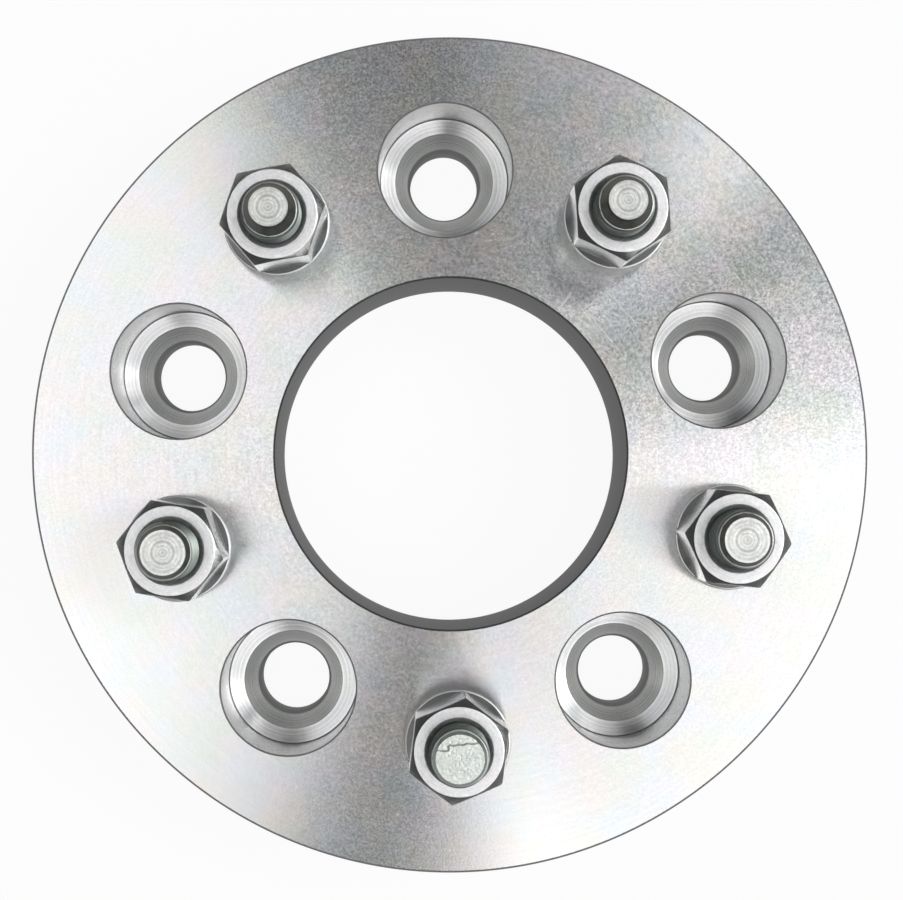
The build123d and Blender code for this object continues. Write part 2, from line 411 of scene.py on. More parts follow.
# Materials by zone. Where a colour is darker or lighter than its metal to stand in for shade or a
# highlight, the comment above it says painted shade or painted highlight.
FINISHES: dict[Zone, TurnedMetal] = {
    Zone.FACE: TurnedMetal(ALUMINIUM, 0.24, anisotropy=0.85, roughness_spread=0.012, ring_width=0.8 * MM,
                           ring_depth=0.001 * MM, ring_shade=0.03, speckle_size=0.42 * MM,
                           speckle_depth=0.003 * MM, speckle_shade=0.13, speckle_roughness=0.026,
                           tint=0.04, scratches=FACE_SCRATCHES),
    Zone.RIM: TurnedMetal(grey(0.80), 0.30, anisotropy=0.8, ring_width=0.3 * MM),
    # Painted shade: the bore wall is dark grey with a low edge tone, far darker than the aluminium,
    # standing in for shade inside the bore.
    Zone.PAINTED_SHADE_BORE: TurnedMetal(grey(0.30), 0.55, edge_tone=0.3, anisotropy=0.3, ring_width=0.8 * MM,
                           ring_shade=0.12),
    # Painted shade: the chamfers are near black, far darker than the aluminium, to draw the dark outline
    # line that their reflection of the dark room gives.
    Zone.EDGE: TurnedMetal((0.18, 0.18, 0.19), 0.35),
    # Painted shade: the counterbore's chamfer is mid-grey, darker than the aluminium, to draw a darker
    # line round the hole's mouth.
    Zone.POCKET_PAINTED_SHADE_EDGE: TurnedMetal(grey(0.52), 0.40),
    # Painted shade: the undercut is dark grey, far darker than the aluminium, to draw the dark line in
    # the corner between wall and floor.
    Zone.PAINTED_SHADE_UNDERCUT: TurnedMetal(grey(0.22), 0.5),
    # Painted shade: the counterbore wall is a little darker grey than the face's aluminium, dimmed as if
    # in the shade of the hole.
    Zone.PAINTED_SHADE_POCKET_WALL: TurnedMetal(grey(0.82), 0.28, anisotropy=0.85, ring_width=0.7 * MM,
                                  ring_shade=0.15, arc_shade=0.1),
    # Painted light: the counterbore floor is lighter than the face's aluminium, to lift it out of the
    # shade of its walls.
    Zone.PAINTED_LIGHT_POCKET_FLOOR: TurnedMetal(grey(0.98), 0.31, anisotropy=0.9, ring_width=0.7 * MM,
                                   ring_shade=0.22, arc_shade=0.08, speckle_depth=0.0,
                                   speckle_shade=0.02),
    Zone.SEAT: TurnedMetal((0.84, 0.85, 0.83), 0.31, anisotropy=0.9, edge_tone=0.8, ring_width=0.6 * MM,
                           ring_shade=0.3, arc_shade=0.15, speckle_depth=0.0),
    # Painted shade: the through hole is dark grey with a low edge tone, far darker than the aluminium, to
    # draw the dark ring of shade inside it.
    Zone.PAINTED_SHADE_LAND: TurnedMetal(grey(0.32), 0.60, edge_tone=0.3),
    Zone.STUD_HOLE: TurnedMetal(grey(0.5), 0.4),
    # Painted shade: the stud's thread is a dark grey-green, far darker than its steel, for the shade down
    # in the nut's mouth.
    Zone.THREAD: TurnedMetal((0.27, 0.30, 0.28), 0.36, ring_width=0.2 * MM),
    Zone.KNURL: TurnedMetal(STEEL, 0.35),
    # Painted highlight: the first crest is a lighter copy of the dark thread steel, drawing a bright
    # ring, though still darker than bare steel.
    Zone.PAINTED_HIGHLIGHT_STUD_CREST: TurnedMetal((0.45, 0.46, 0.45), 0.42),
    # Painted shade: the neck and shoulder of the stud's end are near black, far darker than the steel,
    # standing in for the dark room they reflect.
    Zone.PAINTED_SHADE_STUD_SIDE: TurnedMetal((0.11, 0.11, 0.10), 0.35),
    # Painted highlight: the tip's end face is near white, much lighter than the stud's steel, as if lit
    # from above.
    Zone.PAINTED_HIGHLIGHT_STUD_TIP: TurnedMetal((0.97, 0.98, 0.95), 0.40, anisotropy=0.3, ring_width=0.5 * MM,
                               ring_depth=0.012 * MM, ring_shade=0.4, arc_shade=0.15, speckle_shade=0.2),
    Zone.BROKEN_TIP: TurnedMetal((0.82, 0.85, 0.81), 0.50, ring_shade=0.0, speckle_depth=0.02 * MM,
                                 speckle_shade=0.25),
    Zone.STUD_HEAD: TurnedMetal(STEEL, 0.35, anisotropy=0.5),
    Zone.NUT_THREAD: TurnedMetal(STEEL, 0.3),
    # Painted highlight: the nut's top ring is near white, lighter than the zinc of its sides, as if lit
    # from above.
    Zone.PAINTED_HIGHLIGHT_NUT_RING: TurnedMetal((0.96, 0.96, 0.97), 0.42, anisotropy=0.1, ring_width=0.4 * MM,
                               ring_depth=0.004 * MM, ring_shade=0.06, arc_shade=0.16, arc_stretch=0.008,
                               speckle_shade=0.12),
    # Painted shade: the crown chamfer is dark grey, far darker than the zinc, standing in for the dark it
    # reflects.
    Zone.PAINTED_SHADE_NUT_CROWN: TurnedMetal((0.46, 0.47, 0.46), 0.22),
    Zone.NUT_SIDE: TurnedMetal((0.78, 0.79, 0.79), 0.20),
    # Painted shade: the shoulder under the hexagon is dark grey, far darker than the zinc, for the dark
    # lens of shade there.
    Zone.PAINTED_SHADE_NUT_SHOULDER: TurnedMetal((0.45, 0.46, 0.46), 0.24),
    Zone.NUT_RIM: TurnedMetal((0.62, 0.63, 0.63), 0.40),
    Zone.NUT_MOUTH: TurnedMetal((0.76, 0.80, 0.78), 0.75, ring_width=0.5 * MM, ring_depth=0.01 * MM,
                                ring_shade=0.5, arc_shade=0.3, speckle_shade=0.15),
    Zone.NUT_NOSE: TurnedMetal(ZINC, 0.3, anisotropy=0.4),
}


@cache
def finish_of(zone: Zone) -> bpy.types.Material:
    """Return the material of a zone, built at its first use."""
    return FINISHES[zone].material(zone.value)


@dataclass(frozen=True)
class Station:
    """One ring of a turned profile, the zone of the band that leads to it, and how it is rounded."""

    radius: float
    height: float
    zone: Zone
    rounding: float | None = None

    def point(self) -> Vector:
        """Return the ring's place in the profile plane."""
        return Vector((self.radius, self.height))


Column = Callable[[float], Sequence[Station]]
EASED_SHARE = 0.48


def eased(corners: Sequence[Station], rounding: float, steps: int = 3) -> list[Station]:
    """Round the inner corners of a profile, as a deburring pass does.

    Args:
        corners: The profile's corners in order.
        rounding: How far from each corner its rounding starts, where the corner has none of its own.
        steps: How many short bands make up one rounding.

    Returns:
        The profile with each inner corner replaced by a small arc.
    """
    result = [corners[0]]
    for before, corner, after in zip(corners, corners[1:], corners[2:]):
        into = corner.point() - before.point()
        away = after.point() - corner.point()
        wanted = rounding if corner.rounding is None else corner.rounding
        reach = min(wanted, into.length * EASED_SHARE, away.length * EASED_SHARE)
        start = corner.point() - into.normalized() * reach
        end = corner.point() + away.normalized() * reach
        for step in range(steps + 1):
            share = step / steps
            spot = start.lerp(corner.point(), share).lerp(corner.point().lerp(end, share), share)
            zone = corner.zone if step <= steps / 2 else after.zone
            result.append(Station(spot.x, spot.y, zone))
    result.append(corners[-1])
    return result


def even_angles(count: int) -> list[float]:
    """Return evenly spaced angles of a full turn, its end included."""
    return [TURN * step / count for step in range(count + 1)]


class Blank:
    """A mesh swept round upright axes, with each face's finish and turning axis noted on it."""

    SHARP_ANGLE = math.radians(34.0)
    LARGE_FACE_WEIGHT = 100

    def __init__(self) -> None:
        """Start with no faces."""
        self.mesh = bmesh.new()
        self.axis_layer = self.mesh.faces.layers.float_vector.new(AXIS_ATTRIBUTE)
        self.zones: list[Zone] = []

    def _note(self, face: bmesh.types.BMFace, zone: Zone, centre: Vector) -> None:
        """Note a face's finish and turning axis on it.

        Args:
            face: The face.
            zone: Its finish.
            centre: The place of its turning axis.
        """
        if zone not in self.zones:
            self.zones.append(zone)
        face.material_index = self.zones.index(zone)
        face[self.axis_layer] = Vector((centre.x, centre.y, 0.0))
        face.smooth = True

    def sweep(self, centre: Vector, angles: Sequence[float], column: Column) -> None:
        """Sweep a profile round an upright axis.

        Args:
            centre: The axis' place.
            angles: The angles of the columns, from 0 to a full turn.
            column: Gives the profile at an angle. It has as many stations at each.
        """
        previous: list[bmesh.types.BMVert] = []
        for angle in angles:
            outward = Vector((math.cos(angle), math.sin(angle), 0.0))
            stations = column(angle)
            ring = []
            for station in stations:
                on_axis = Vector((centre.x, centre.y, station.height))
                ring.append(self.mesh.verts.new(on_axis + outward * station.radius))
            if previous:
                for row in range(1, len(ring)):
                    corners = previous[row - 1], ring[row - 1], ring[row], previous[row]
                    self._note(self.mesh.faces.new(corners), stations[row].zone, centre)
            previous = ring

    def weld(self) -> None:
        """Join points that share a place, which closes seams and poles."""
        bmesh.ops.remove_doubles(self.mesh, verts=self.mesh.verts[:], dist=WELD_DISTANCE)

    def fill(self, height: float, zone: Zone) -> None:
        """Fill the flat face between all open rings at a height.

        Args:
            height: The height of the rings.
            zone: The finish of the face.
        """
        open_edges = [edge for edge in self.mesh.edges if edge.is_boundary
                      and all(abs(vert.co.z - height) < WELD_DISTANCE for vert in edge.verts)]
        made = bmesh.ops.triangle_fill(self.mesh, use_beauty=True, edges=open_edges, normal=UP)
        for item in made["geom"]:
            if isinstance(item, bmesh.types.BMFace):
                self._note(item, zone, Vector())

    def piece(self, name: str) -> bpy.types.Object:
        """Turn the blank into an object with its materials.

        Args:
            name: The object's name.

        Returns:
            The object, linked to the scene.
        """
        self.weld()
        bmesh.ops.recalc_face_normals(self.mesh, faces=self.mesh.faces[:])
        mesh = bpy.data.meshes.new(name)
        self.mesh.to_mesh(mesh)
        self.mesh.free()
        for zone in self.zones:
            mesh.materials.append(finish_of(zone))
        piece = bpy.data.objects.new(name, mesh)
        bpy.context.scene.collection.objects.link(piece)
        return piece


def settle(piece: bpy.types.Object) -> None:
    """Replace a piece's mesh by what its modifiers make of it, with crisp edges kept crisp.

    Args:
        piece: The object, with its modifiers still live.
    """
    depsgraph = bpy.context.evaluated_depsgraph_get()
    evaluated = piece.evaluated_get(depsgraph)
    mesh = bpy.data.meshes.new_from_object(evaluated, preserve_all_data_layers=True, depsgraph=depsgraph)
    piece.modifiers.clear()
    piece.data = mesh
    mesh.name = piece.name
    mesh.set_sharp_from_angle(angle=Blank.SHARP_ANGLE)
    weights = piece.modifiers.new("weighted_normals", "WEIGHTED_NORMAL")
    weights.keep_sharp = True
    weights.weight = Blank.LARGE_FACE_WEIGHT


class RadialCutter(ABC):
    """A Geometry Nodes tree that moves a blank's points in or out by a rule of angle and height."""

    title: str
    sizes: tuple[str, ...]

    def __init__(self) -> None:
        """Build the tree with its named inputs."""
        tree = bpy.data.node_groups.new(self.title, "GeometryNodeTree")
        tree.interface.new_socket("Geometry", in_out="INPUT", socket_type="NodeSocketGeometry")
        tree.interface.new_socket("Centre", in_out="INPUT", socket_type="NodeSocketVector")
        tree.interface.new_socket("Finish", in_out="INPUT", socket_type="NodeSocketMaterial")
        for size in ("Start", "End", "Crest Radius", "Depth", *self.sizes):
            tree.interface.new_socket(size, in_out="INPUT", socket_type="NodeSocketFloat")
        tree.interface.new_socket("Geometry", in_out="OUTPUT", socket_type="NodeSocketGeometry")
        self.tree = tree
        self._wire(NodeDesk(tree))

    def _wire(self, desk: NodeDesk) -> None:
        """Wire the tree, from its inputs to its output.

        Args:
            desk: The node desk of the tree.
        """
        given = desk.add("NodeGroupInput", {}).outputs
        place = desk.add("GeometryNodeInputPosition", {}).outputs[0]
        x, y, z = desk.split(desk.vector("SUBTRACT", place, given["Centre"]))
        radius = desk.length(desk.joined(x, y, 0.0))
        turns = desk.math("DIVIDE", desk.math("ARCTAN2", y, x), TURN)
        above_start = desk.math("GREATER_THAN", z, desk.math("SUBTRACT", given["Start"], WELD_DISTANCE))
        below_end = desk.math("LESS_THAN", z, desk.math("ADD", given["End"], WELD_DISTANCE))
        limit = desk.math("ADD", given["Crest Radius"], self.reach(desk, given))
        near = desk.math("LESS_THAN", radius, limit)
        cut_here = desk.math("MULTIPLY", desk.math("MULTIPLY", above_start, below_end), near)
        cut_radius = self.cut_radius(desk, given, radius, turns, z)
        stretch = desk.math("DIVIDE", cut_radius, desk.math("MAXIMUM", radius, WELD_DISTANCE))
        moved = desk.joined(desk.math("MULTIPLY", x, stretch), desk.math("MULTIPLY", y, stretch), z)
        shifted = desk.add("GeometryNodeSetPosition", {
            "Geometry": given["Geometry"],
            "Selection": cut_here,
            "Position": desk.vector("ADD", moved, given["Centre"]),
        })
        real = desk.add("GeometryNodeRealizeInstances", {"Geometry": shifted.outputs[0]})
        dressed = desk.add("GeometryNodeSetMaterial", {
            "Geometry": real.outputs[0],
            "Selection": cut_here,
            "Material": given["Finish"],
        })
        desk.add("NodeGroupOutput", {"Geometry": dressed.outputs[0]})

    @abstractmethod
    def reach(self, desk: NodeDesk, given: bpy.types.NodeOutputs) -> object:
        """Return how far beyond the crest radius the cut still works."""

    @abstractmethod
    def cut_radius(self, desk: NodeDesk, given: bpy.types.NodeOutputs, radius: Socket, turns: Socket,
                   height: Socket) -> Socket:
        """Return the radius of a point after the cut.

        Args:
            desk: The node desk of the tree.
            given: The tree's inputs.
            radius: The point's radius before the cut.
            turns: Its angle in turns.
            height: Its height.

        Returns:
            The new radius.
        """

    def put_on(self, piece: bpy.types.Object, values: dict[str, object]) -> None:
        """Give a piece this cutter as a modifier.

        Args:
            piece: The piece to cut.
            values: The cutter's inputs by name.
        """
        modifier = piece.modifiers.new(self.title, "NODES")
        modifier.node_group = self.tree
        for item in self.tree.interface.items_tree:
            if item.in_out == "INPUT" and item.name in values:
                modifier[item.identifier] = values[item.name]


class ThreadCutter(RadialCutter):
    """Cuts a right-hand 60 degree thread: a V groove with a flat at its crest and at its root."""

    title = "thread_cutter"
    sizes = ("Pitch", "Clearance", "Inside")
    CREST_HALF = 1 / 16
    ROOT_START = 3 / 8

    def reach(self, desk: NodeDesk, given: bpy.types.NodeOutputs) -> object:
        """Return the clearance and a hair more, so that a nut's own thread is reached too."""
        return desk.math("ADD", given["Clearance"], WELD_DISTANCE)

    def cut_radius(self, desk: NodeDesk, given: bpy.types.NodeOutputs, radius: Socket, turns: Socket,
                   height: Socket) -> Socket:
        """Return the smaller of blank and thread on a stud, or the larger of them in a nut.

        Args:
            desk: The node desk of the tree.
            given: The tree's inputs.
            radius: The point's radius before the cut.
            turns: Its angle in turns.
            height: Its height.

        Returns:
            The new radius.
        """
        pitches = desk.math("DIVIDE", height, given["Pitch"])
        phase = desk.math("FRACT", desk.math("SUBTRACT", pitches, turns))
        off_crest = desk.math("ABSOLUTE", desk.math("SUBTRACT", phase, 0.5))
        flank = desk.remap(off_crest, (self.CREST_HALF, self.ROOT_START), RISING)
        depth = desk.math("MULTIPLY", flank, given["Depth"])
        thread = desk.math("SUBTRACT", desk.math("ADD", given["Crest Radius"], given["Clearance"]), depth)
        outer = desk.math("MINIMUM", radius, thread)
        inner = desk.math("MAXIMUM", radius, thread)
        share = desk.math("MULTIPLY", desk.math("SUBTRACT", inner, outer), given["Inside"])
        return desk.math("ADD", outer, share)

    @classmethod
    def rows(cls, angle: float, pitch: float, low: float, high: float) -> list[float]:
        """Return the heights where the thread's form turns, at an angle, held between low and high.

        Args:
            angle: The column's angle.
            pitch: The thread's pitch.
            low: Where the thread starts.
            high: Where it ends.

        Returns:
            The heights in rising order, as many at each angle.
        """
        half_flank = (cls.CREST_HALF + cls.ROOT_START) / 2
        turning_points = (0.5 - cls.ROOT_START, 0.5 - half_flank, 0.5 - cls.CREST_HALF,
                          0.5 + cls.CREST_HALF, 0.5 + half_flank, 0.5 + cls.ROOT_START)
        first = math.floor(low / pitch) - 1
        last = math.ceil(high / pitch)
        heights = [pitch * (turn + point + angle / TURN)
                   for turn in range(first, last + 1) for point in turning_points]
        return [min(max(height, low), high) for height in heights]


class KnurlRoller(RadialCutter):
    """Presses straight ribs into a collar."""

    title = "knurl_roller"
    sizes = ("Ribs",)

    def reach(self, desk: NodeDesk, given: bpy.types.NodeOutputs) -> object:
        """Return a hair, because the ribs only go inwards."""
        return WELD_DISTANCE

    def cut_radius(self, desk: NodeDesk, given: bpy.types.NodeOutputs, radius: Socket, turns: Socket,
                   height: Socket) -> Socket:
        """Return the radius with a V pressed between each two ribs.

        Args:
            desk: The node desk of the tree.
            given: The tree's inputs.
            radius: The point's radius before the cut.
            turns: Its angle in turns.
            height: Its height, which makes no difference.

        Returns:
            The new radius.
        """
        phase = desk.math("FRACT", desk.math("MULTIPLY", desk.math("ADD", turns, 1.0), given["Ribs"]))
        off_rib = desk.math("MULTIPLY", desk.math("PINGPONG", phase, 0.5), 2.0)
        pressed = desk.math("MULTIPLY", off_rib, given["Depth"])
        floor = desk.math("SUBTRACT", given["Crest Radius"], pressed)
        return desk.math("MINIMUM", radius, floor)


@dataclass(frozen=True)
class SpacerFrame:
    """The spacer's main sizes and places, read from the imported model."""

    outer_radius: float
    thickness: float
    bore_radius: float
    lug_radius: float
    stud_places: tuple[Vector, ...]
    lug_places: tuple[Vector, ...]
    head_height: float
    tip_height: float
    nut_top: float

    @classmethod
    def read(cls, record: dict) -> SpacerFrame:
        """Read the sizes from the node boxes and the record's mounts.

        Args:
            record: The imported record.

        Returns:
            The sizes in metres.
        """
        mounts = {mount["name"]: mount["dims"] for mount in record["mounts"]}
        count = mounts["hub_stud_holes"]["count"]
        low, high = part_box("adapter_body")
        studs = [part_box(f"wheel_stud_{index + 1}") for index in range(count)]
        places = tuple(Vector(((a.x + b.x) / 2, (a.y + b.y) / 2, 0.0)) for a, b in studs)
        half_step = TURN / count / 2
        cos, sin = math.cos(half_step), math.sin(half_step)
        lugs = tuple(Vector((place.x * cos + place.y * sin, place.y * cos - place.x * sin, 0.0))
                     for place in places)
        return cls(
            outer_radius=(high.x - low.x) / 2,
            thickness=high.z,
            bore_radius=mounts["hub_bore"]["r_mm"] * MM,
            lug_radius=mounts["hub_stud_holes"]["hole_r_mm"] * MM,
            stud_places=places,
            lug_places=lugs,
            head_height=studs[0][0].z,
            tip_height=studs[0][1].z,
            nut_top=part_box("lug_nut_1")[1].z,
        )


@dataclass(frozen=True)
class Thread:
    """The thread that studs and nuts share: M12 x 1.5."""

    radius: float = 6.0 * MM
    pitch: float = 1.5 * MM
    depth: float = 0.92 * MM
    nut_crest_depth: float = 0.81 * MM
    clearance: float = 0.04 * MM


@dataclass(frozen=True)
class AdapterBody:
    """The turned and drilled aluminium ring."""

    frame: SpacerFrame
    edge_chamfer: float = 0.5 * MM
    bore_chamfer: float = 0.4 * MM
    land_length: float = 6.1 * MM
    lead_length: float = 2.45 * MM
    lead_width: float = 0.55 * MM
    seat_width: float = 2.75 * MM
    seat_half_angle: float = math.radians(30.0)
    floor_width: float = 3.4 * MM
    pocket_chamfer: float = 0.35 * MM
    back_chamfer: float = 0.4 * MM
    stud_hole_radius: float = 6.35 * MM
    recess_radius: float = 11.0 * MM
    recess_depth: float = 5.0 * MM
    tool_groove_depth: float = 0.015 * MM
    tool_groove_half_width: float = 0.22 * MM
    tool_groove_count: int = 4
    undercut_width: float = 0.25 * MM
    undercut_depth: float = 0.12 * MM
    easing: float = 0.06 * MM
    rim_columns: int = 360
    bore_columns: int = 240
    lug_columns: int = 144
    stud_hole_columns: int = 72

    def _wall(self, radius: float, chamfer: float, inward: float, zone: Zone) -> list[Station]:
        """Return a straight wall from face to face with a chamfer at each end.

        Args:
            radius: The wall's radius.
            chamfer: The size of its edge chamfers.
            inward: 1 where the metal lies inside the wall, -1 where it lies outside.
            zone: The wall's finish.

        Returns:
            The profile from the wheel face down.
        """
        top = self.frame.thickness
        edge = radius - inward * chamfer
        return eased([
            # The chamfers at both ends take the near-black painted-shade colour.
            Station(edge, top, Zone.EDGE),
            Station(radius, top - chamfer, Zone.EDGE),
            Station(radius, chamfer, zone),
            Station(edge, 0.0, Zone.EDGE),
        ], self.easing)

    def _pocket_floor(self, outer: float, inner: float, height: float) -> list[Station]:
        """Return the counterbore's floor, with its undercut corner and the tool's shallow rings.

        Args:
            outer: The counterbore's radius.
            inner: The radius at which the seat starts.
            height: The floor's height.

        Returns:
            The profile from the wall's foot to the seat's mouth.
        """
        stations = [
            Station(outer, height - self.undercut_depth, Zone.PAINTED_SHADE_POCKET_WALL),
            # The undercut corner takes a dark painted-shade colour.
            Station(outer - self.undercut_width, height - self.undercut_depth, Zone.PAINTED_SHADE_UNDERCUT),
            Station(outer - self.undercut_width, height, Zone.PAINTED_SHADE_UNDERCUT),
        ]
        pitch = (outer - inner) / (self.tool_groove_count + 1)
        for groove in range(1, self.tool_groove_count + 1):
            middle = outer - groove * pitch
            stations += [
                Station(middle + self.tool_groove_half_width, height, Zone.PAINTED_LIGHT_POCKET_FLOOR),
                Station(middle, height - self.tool_groove_depth, Zone.PAINTED_LIGHT_POCKET_FLOOR),
                Station(middle - self.tool_groove_half_width, height, Zone.PAINTED_LIGHT_POCKET_FLOOR),
            ]
        return stations + [Station(inner, height, Zone.PAINTED_LIGHT_POCKET_FLOOR)]

    def _lug_hole(self) -> list[Station]:
        """Lay out a lug hole: counterbore, seat, lead and land.

        Returns:
            The profile from the wheel face down.
        """
        top = self.frame.thickness
        through = self.frame.lug_radius
        foot = through + self.lead_width
        foot_height = self.land_length + self.lead_length
        mouth = foot + self.seat_width
        wall = mouth + self.floor_width
        floor_height = foot_height + self.seat_width / math.tan(self.seat_half_angle)
        return eased([
            # The counterbore's chamfer takes the darker painted-shade grey.
            Station(wall + self.pocket_chamfer, top, Zone.POCKET_PAINTED_SHADE_EDGE),
            Station(wall, top - self.pocket_chamfer, Zone.POCKET_PAINTED_SHADE_EDGE),
            *self._pocket_floor(wall, mouth, floor_height),
            Station(foot, foot_height, Zone.SEAT),
            # The through hole takes a dark painted-shade colour.
            Station(through, self.land_length, Zone.PAINTED_SHADE_LAND),
            Station(through, self.back_chamfer, Zone.PAINTED_SHADE_LAND),
            Station(through + self.back_chamfer, 0.0, Zone.EDGE),
        ], self.easing)

    def _stud_hole(self) -> list[Station]:
        """Lay out a stud hole with its head recess.

        Returns:
            The profile from the wheel face down.
        """
        return [
            Station(self.stud_hole_radius, self.frame.thickness, Zone.STUD_HOLE),
            Station(self.stud_hole_radius, self.recess_depth, Zone.STUD_HOLE),
            Station(self.recess_radius, self.recess_depth, Zone.STUD_HOLE),
            Station(self.recess_radius, self.back_chamfer, Zone.STUD_HOLE),
            Station(self.recess_radius + self.back_chamfer, 0.0, Zone.EDGE),
        ]

    def build(self) -> bpy.types.Object:
        """Build the ring.

        Returns:
            The finished piece.
        """
        blank = Blank()
        rim = self._wall(self.frame.outer_radius, self.edge_chamfer, 1.0, Zone.RIM)
        # The bore wall takes a dark painted-shade colour.
        bore = self._wall(self.frame.bore_radius, self.bore_chamfer, -1.0, Zone.PAINTED_SHADE_BORE)
        blank.sweep(Vector(), even_angles(self.rim_columns), lambda angle: rim)
        blank.sweep(Vector(), even_angles(self.bore_columns), lambda angle: bore)
        lug_hole, stud_hole = self._lug_hole(), self._stud_hole()
        for place in self.frame.lug_places:
            blank.sweep(place, even_angles(self.lug_columns), lambda angle: lug_hole)
        for place in self.frame.stud_places:
            blank.sweep(place, even_angles(self.stud_hole_columns), lambda angle: stud_hole)
        blank.weld()
        blank.fill(self.frame.thickness, Zone.FACE)
        blank.fill(0.0, Zone.FACE)
        piece = blank.piece("spacer_ring")
        settle(piece)
        return piece


@dataclass(frozen=True)
class StudEnd:
    """The form of a stud's end, from its tip down to the first full thread."""

    tip_radius: float
    neck_length: float
    shoulder_inset: float
    broken: bool = False


class StudEnds(Enum):
    """The ends that the five studs have."""

    DOG_POINT = StudEnd(tip_radius=3.95 * MM, neck_length=2.8 * MM, shoulder_inset=0.55 * MM)
    CHAMFERED = StudEnd(tip_radius=4.55 * MM, neck_length=0.9 * MM, shoulder_inset=0.55 * MM)
    SHEARED = StudEnd(tip_radius=4.9 * MM, neck_length=0.5 * MM, shoulder_inset=0.4 * MM, broken=True)


